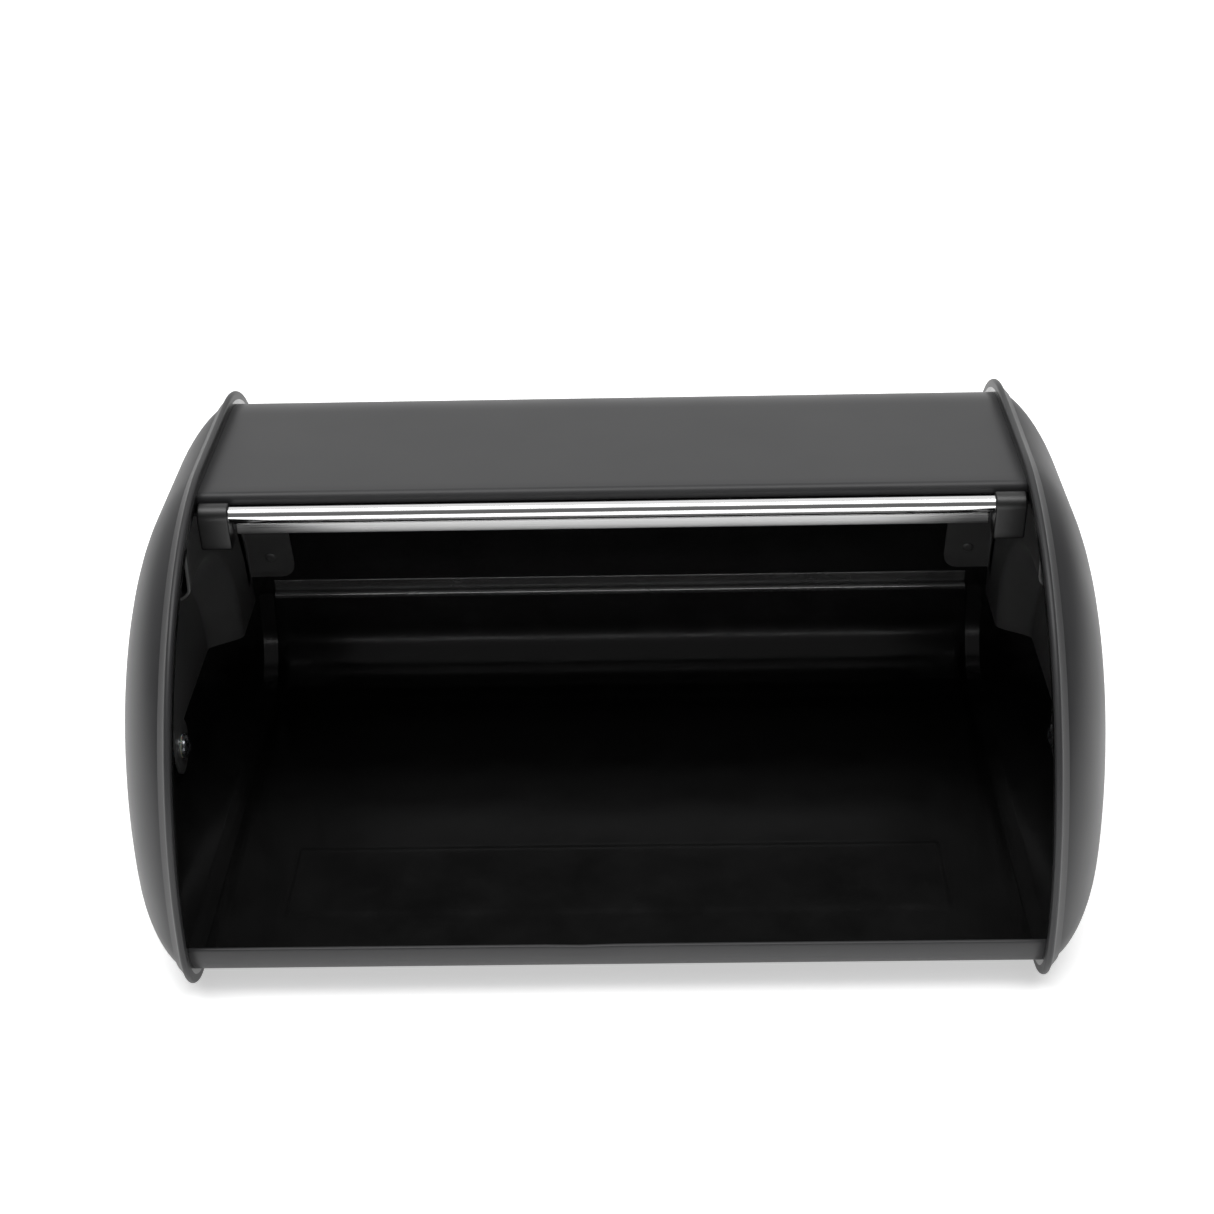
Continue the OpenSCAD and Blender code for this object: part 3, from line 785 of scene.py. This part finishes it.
def makeArm(side, word):
    step = 4.5    # degrees between the points round the pivot end
    firstDeg = 49.5
    columns = 29
    points, faces = [], []

    def addGrid(rows, wrapRound=False):
        start, count = len(points), len(rows[0])
        for row in rows:
            points.extend(row)
        for k in range(len(rows) - 1):
            for i in range(count if wrapRound else count - 1):
                a, b, j = start + k * count, start + (k + 1) * count, (i + 1) % count
                faces.append((a + i, b + i, b + j, a + j))

    eye = [arms["hole"] + (arms["front"] - arms["hole"]) * t for t in (0, 0.3, 0.65, 1)]
    addGrid([[armPoint(side, r, firstDeg + step * i) for i in range(round(360 / step))]
             for r in eye], True)
    # rows of points from the pivot end out to the lid, closest together over the step
    radii = [arms["front"], 14, 17, 22, 30, 40, 52, 64, 72]
    radii += [arms["stepIn"] - 2 + 14 * i / 12 for i in range(13)] + [92, 98, 104, 110, 116, 120]
    rows = []
    for r in radii:
        front = arms["front"] + (arms["frontTop"] - arms["front"]) * ease(
            r, arms["stepIn"], arms["stepOut"])
        low = math.degrees(math.asin(arms["rear"] / r)) if r > arms["front"] else firstDeg
        high = 180 - math.degrees(math.acos(min(front / r, 1)))
        rows.append([armPoint(side, r, low + (high - low) * i / (columns - 1))
                     for i in range(columns)])
    # the outer edge butts against the lid's side
    last = lid["radius"]
    low = math.degrees(math.asin(arms["rear"] / last))
    high = 90 + math.degrees(math.asin(arms["frontTop"] / last))
    rows.append([armPoint(side, last, low + (high - low) * i / (columns - 1))
                 for i in range(columns)])
    addGrid(rows)
    stripR = lid["radius"] - sheet - arms["stripGap"] - armThick / 2
    bend, corner = arms["bend"], arms["stripCorner"]
    section = [(stripR - arms["stripRoot"], lidPlateX), (stripR - bend - 2, lidPlateX)]
    section += [(stripR - bend + bend * math.sin(math.radians(15 * i)),
                 lidPlateX - bend + bend * math.cos(math.radians(15 * i))) for i in range(7)]
    reach = [arms["stripWide"] * t for t in (0.3, 0.5, 0.68, 0.8, 0.88, 0.94, 0.98, 1)]
    section += [(stripR, lidEdge - r) for r in reach]
    startDeg, endDeg = arms["stripDeg"]
    rows = []
    for radius, x in section:
        # the strip's two inner corners are rounded off
        past = max(lidEdge - x - arms["stripWide"] + corner, 0)
        cut = math.degrees((corner - math.sqrt(corner ** 2 - past ** 2)) / stripR)
        rows.append([(side * x, axisY + radius * math.cos(a), axisZ + radius * math.sin(a))
                     for a in [math.radians(startDeg + cut + (endDeg - startDeg - 2 * cut) * i / 40)
                               for i in range(41)]])
    addGrid(rows)
    piece = cleaned(newPiece(word + "LidArmPlate", points, faces, [0] * len(faces), [paintedLightLacquer]))
    thicken(piece, armThick)
    soften(piece, 0.35, 2, 50)
    return fitPiece(piece, "lid", "black_enamel", word + "_lid_arm")


for side, word in ((-1, "left"), (1, "right")):
    makeArm(side, word)


def rivetRowTree():
    # rivets at equal angles round the pivot axis, each with a domed head outside and inside
    tree, given = newTree("rivetRow", {
        "Count": "Int", "First Angle": "Float", "Angle Step": "Float", "Seat Radius": "Float",
        "Grip": "Float", "Across": "Float", "Axis": "Vector", "Head Radius": "Float",
        "Shank Radius": "Float", "Head Height": "Float", "Material": "Material",
    })
    points = addNode(tree, "GeometryNodePoints", {}, {"Count": given["Count"]})
    index = addNode(tree, "GeometryNodeInputIndex", {}, {})
    stepped = addNode(tree, "ShaderNodeMath", {"operation": "MULTIPLY"}, {
        0: given["Angle Step"], 1: index.outputs[0]})
    angle = addNode(tree, "ShaderNodeMath", {"operation": "ADD"}, {
        0: given["First Angle"], 1: stepped.outputs[0]})
    cosine = addNode(tree, "ShaderNodeMath", {"operation": "COSINE"}, {0: angle.outputs[0]})
    sine = addNode(tree, "ShaderNodeMath", {"operation": "SINE"}, {0: angle.outputs[0]})
    back = addNode(tree, "ShaderNodeMath", {"operation": "MULTIPLY"}, {
        0: given["Seat Radius"], 1: cosine.outputs[0]})
    up = addNode(tree, "ShaderNodeMath", {"operation": "MULTIPLY"}, {
        0: given["Seat Radius"], 1: sine.outputs[0]})
    out = addNode(tree, "ShaderNodeCombineXYZ", {}, {
        "X": given["Across"], "Y": back.outputs[0], "Z": up.outputs[0]})
    seat = addNode(tree, "ShaderNodeVectorMath", {"operation": "ADD"}, {
        0: out.outputs[0], 1: given["Axis"]})
    seats = addNode(tree, "GeometryNodeSetPosition", {}, {
        "Geometry": points.outputs[0], "Position": seat.outputs[0]})
    ball = addNode(tree, "GeometryNodeMeshUVSphere", {}, {"Segments": 28, "Rings": 14})
    size = addNode(tree, "ShaderNodeCombineXYZ", {}, {
        "X": given["Head Radius"], "Y": given["Head Radius"], "Z": given["Head Height"]})
    head = addNode(tree, "GeometryNodeTransform", {}, {
        "Geometry": ball.outputs[0], "Scale": size.outputs[0]})
    sunk = addNode(tree, "ShaderNodeMath", {"operation": "MULTIPLY"}, {0: given["Grip"], 1: -1})
    down = addNode(tree, "ShaderNodeCombineXYZ", {}, {"Z": sunk.outputs[0]})
    tail = addNode(tree, "GeometryNodeTransform", {}, {
        "Geometry": head.outputs[0], "Translation": down.outputs[0]})
    halfSunk = addNode(tree, "ShaderNodeMath", {"operation": "MULTIPLY"}, {
        0: given["Grip"], 1: -0.5})
    middle = addNode(tree, "ShaderNodeCombineXYZ", {}, {"Z": halfSunk.outputs[0]})
    rod = addNode(tree, "GeometryNodeMeshCylinder", {}, {
        "Vertices": 28, "Radius": given["Shank Radius"], "Depth": given["Grip"]})
    shank = addNode(tree, "GeometryNodeTransform", {}, {
        "Geometry": rod.outputs[0], "Translation": middle.outputs[0]})
    rivet = addNode(tree, "GeometryNodeJoinGeometry", {}, {
        "Geometry": [shank.outputs[0], tail.outputs[0], head.outputs[0]]})
    leaning = addNode(tree, "ShaderNodeMath", {"operation": "SUBTRACT"}, {
        0: angle.outputs[0], 1: math.pi / 2})
    lean = addNode(tree, "ShaderNodeCombineXYZ", {}, {"X": leaning.outputs[0]})
    row = addNode(tree, "GeometryNodeInstanceOnPoints", {}, {
        "Points": seats.outputs[0], "Instance": rivet.outputs[0], "Rotation": lean.outputs[0]})
    endTree(tree, row.outputs[0], given["Material"])
    return tree


rivets = {"headWide": 5.6, "shankWide": 2.9, "headHigh": 0.9, "places": (18.0, 47.0, 76.0)}
rivetTree = rivetRowTree()
for side, word in ((-1, "left"), (1, "right")):
    firstDeg, secondDeg = rivets["places"][:2]
    row = grown(word + "ArmRivetRow", rivetTree, {
        "Count": len(rivets["places"]),
        "First Angle": math.radians(firstDeg),
        "Angle Step": math.radians(secondDeg - firstDeg),
        "Seat Radius": lid["radius"] * mm,
        "Grip": (sheet + arms["stripGap"] + armThick) * mm,
        "Across": side * (lidEdge - arms["stripWide"] / 2) * mm,
        "Axis": (0.0, axisY * mm, axisZ * mm),
        "Head Radius": rivets["headWide"] / 2 * mm,
        "Shank Radius": rivets["shankWide"] / 2 * mm,
        "Head Height": rivets["headHigh"] * mm,
        "Material": paintedLightLacquer,
    })
    fitPiece(row, "lid", "black_enamel", word + "_arm_rivets")


handle = {
    "tubeWide": 7.3,
    "tubeWall": 0.7,
    "tubeOver": 2.9,        # how far its middle stands outside the lid's curve
    "tubeForward": 5.6,     # and in front of the lid's flange
    "tubeSunk": 7.0,        # length of its ends inside the brackets
    "railThick": 1.0,
    "railHigh": 5.0,
    "railBack": 4.0,        # height of its lip behind the flange
    "railShort": 1.2,       # from its end to the bracket
    "bracketWall": 1.45,    # round the tube
    "bracketUnder": 4.5,    # how far the brackets reach past the flange's edge
    "cornerR": 2.6,         # their eased lower corner
    "cornerBack": 3.6,      # from the front to that corner's centre
    "slopeEnd": (4.2, 1.2),    # where the slope above it starts: up, and back from the front
}
tubeOut = lid["radius"] + handle["tubeOver"]
flangeEdge = lid["radius"] - lid["flange"]


def handleTubeTree():
    # the middle of a tube's wall, swept along a straight spine
    tree, given = newTree("drawnTube", {
        "Start": "Vector", "End": "Vector", "Radius": "Float", "Material": "Material",
    })
    spine = addNode(tree, "GeometryNodeCurvePrimitiveLine", {}, {
        "Start": given["Start"], "End": given["End"]})
    ring = addNode(tree, "GeometryNodeCurvePrimitiveCircle", {}, {
        "Resolution": 64, "Radius": given["Radius"]})
    wall = addNode(tree, "GeometryNodeCurveToMesh", {}, {
        "Curve": spine.outputs[0], "Profile Curve": ring.outputs[0]})
    endTree(tree, wall.outputs[0], given["Material"])
    return tree


def makeTube():
    reach = bracketLow.x + handle["tubeSunk"]
    ends = [tuple(Vector(onLidFront(s * reach, tubeOut, handle["tubeForward"])) * mm)
            for s in (-1, 1)]
    piece = grown("handleChromeTube", handleTubeTree(), {
        "Start": ends[0], "End": ends[1],
        "Radius": (handle["tubeWide"] - handle["tubeWall"]) / 2 * mm,
        "Material": chrome,
    })
    thicken(piece, handle["tubeWall"])
    return fitPiece(piece, "lid", "chrome", "handle_tube")


def makeRail():
    # a channel with eased edges that caps the flange's edge
    thick = handle["railThick"]
    low = flangeEdge - thick
    back = -sheet - thick
    lip = low + handle["railBack"]
    section = [(low, back), (lip, back), (lip, -sheet), (low + thick, -sheet),
               (low + thick, 0), (low + handle["railHigh"], 0), (low + handle["railHigh"], thick),
               (low, thick)]
    reach = bracketLow.x - handle["railShort"]
    piece = prism("handleBrightRail", section, (-reach, reach), [stainless], onLidFront)
    soften(piece, 0.35, 3)
    return fitPiece(piece, "lid", "bright_steel", "handle_rail")


def bracketSection():
    # flat against the flange behind, round over the tube in front, with an eased lower corner
    r = handle["tubeWide"] / 2 + handle["bracketWall"]
    low = flangeEdge - handle["bracketUnder"]
    deep = handle["tubeForward"] + r
    section = [(lid["radius"] - 0.5, 0.0)]
    section += arc((tubeOut, handle["tubeForward"]), r, -90, 90, 22)
    section += [(low + handle["slopeEnd"][0], deep - handle["slopeEnd"][1])]
    section += arc((low + handle["cornerR"], deep - handle["cornerBack"]), handle["cornerR"], 100, 180, 6)
    section += [(low, 0.0)]
    return section


def makeBracket(side, word):
    ends = sorted((side * bracketLow.x, side * bracketHigh.x))
    piece = prism(word + "HandleEndBracket", bracketSection(), ends, [plastic], onLidFront)
    soften(piece, 0.9, 4, 50)
    return fitPiece(piece, "lid", "black_plastic", word + "_handle_bracket")


makeTube()
makeRail()
for side, word in ((-1, "left"), (1, "right")):
    makeBracket(side, word)


carriedOver = {
    "pivot_stud": zinc, "pivot_rivet": zinc, "pivot_washer": zinc, "pivot_bush": nylon,
    "handle_screw": zinc,
}
for kind, material in carriedOver.items():
    for word in ("left", "right"):
        node = frame["nodes"][word + "_" + kind]
        for slot in node.material_slots:
            slot.material = material
print("CAD nodes finished:", 2 * len(carriedOver))


studio = {
    "roomLight": 1.0,
    "leftShade": 0.30,      # shares of the room's light from the left, the right, the back and the front
    "rightShade": 0.08,
    "rearShade": 1.0,
    "frontShade": 0.16,
    "overhead": (0.62, 0.85),    # full light from above starts between these upward shares
    "floorGlow": 0.52,
    "floorReach": 6.0,      # metres
    "keyPower": 32.0,
    "keySize": (2.2, 1.0),
    "keyPlace": (-0.1, -0.5, 2.1),
    "cardPower": 0.7,       # a low bright card in front, which the hem's bead mirrors
    "cardSize": (1.4, 0.03),
    "cardPlace": (0.0, -0.62, 0.016),
}


def makeFloor():
    reach = studio["floorReach"]
    mesh = bpy.data.meshes.new("floor")
    corners = [(-reach, -reach, 0), (reach, -reach, 0), (reach, reach, 0), (-reach, reach, 0)]
    mesh.from_pydata(corners, [], [(0, 1, 2, 3)])
    floor = bpy.data.objects.new("floor", mesh)
    bpy.context.scene.collection.objects.link(floor)
    # Matt white paper sweep: it scatters light evenly.
    material, tree, spot = startMaterial("whitePaperSweep")
    cloud = addNode(tree, "ShaderNodeTexNoise", {}, {"Vector": spot, "Scale": perSize(400)})
    colour = addNode(tree, "ShaderNodeMix", {"data_type": "RGBA"}, {
        "Factor": cloud.outputs[0], 6: toLinear("#f4f4f4"), 7: toLinear("#f6f6f6")})
    endMaterial(tree, {
        "Base Color": colour.outputs[2], "Roughness": 0.9, "IOR": 1.3,
        "Emission Color": toLinear("#ffffff"), "Emission Strength": studio["floorGlow"]})
    mesh.materials.append(material)


def makeRoomLight():
    world = bpy.data.worlds.new("softStudio")
    bpy.context.scene.world = world
    world.use_nodes = True
    tree = world.node_tree
    tree.nodes.clear()
    direction = addNode(tree, "ShaderNodeTexCoord", {}, {}).outputs["Generated"]
    across, along, up = addNode(tree, "ShaderNodeSeparateXYZ", {}, {0: direction}).outputs
    # a direction, the two places along it where a shade starts and ends, and the shares there
    shades = [
        (across, -0.9, -0.2, studio["leftShade"], 1),
        (across, 0.2, 0.9, 1, studio["rightShade"]),
        (along, -0.5, -0.1, studio["frontShade"], 1),
        (along, 0.0, 0.6, 1, studio["rearShade"]),
    ]
    around = 1.0
    for source, start, end, first, last in shades:
        share = addNode(tree, "ShaderNodeMapRange", {"interpolation_type": "SMOOTHSTEP"}, {
            "Value": source, "From Min": start, "From Max": end, "To Min": first, "To Max": last})
        around = addNode(tree, "ShaderNodeMath", {"operation": "MULTIPLY"}, {
            0: share.outputs[0], 1: around}).outputs[0]
    overhead = addNode(tree, "ShaderNodeMapRange", {"interpolation_type": "SMOOTHSTEP"}, {
        "Value": up, "From Min": studio["overhead"][0], "From Max": studio["overhead"][1]})
    lit = addNode(tree, "ShaderNodeMath", {"operation": "MAXIMUM"}, {
        0: around, 1: overhead.outputs[0]})
    strength = addNode(tree, "ShaderNodeMath", {"operation": "MULTIPLY"}, {
        0: lit.outputs[0], 1: studio["roomLight"]})
    light = addNode(tree, "ShaderNodeBackground", {}, {
        "Color": toLinear("#ffffff"), "Strength": strength.outputs[0]})
    addNode(tree, "ShaderNodeOutputWorld", {}, {"Surface": light.outputs[0]})


def makeLamp(name, size, power, stand):
    data = bpy.data.lights.new(name, "AREA")
    data.shape = "RECTANGLE"
    data.size, data.size_y = size
    data.energy = power
    lamp = bpy.data.objects.new(name, data)
    lamp.location = stand
    lamp.rotation_euler = (-lamp.location).to_track_quat("-Z", "Y").to_euler()
    bpy.context.scene.collection.objects.link(lamp)


makeFloor()
makeRoomLight()
makeLamp("softKey", studio["keySize"], studio["keyPower"], studio["keyPlace"])
makeLamp("lowCard", studio["cardSize"], studio["cardPower"], studio["cardPlace"])
bpy.context.scene.view_settings.view_transform = "Standard"
print("studio made")
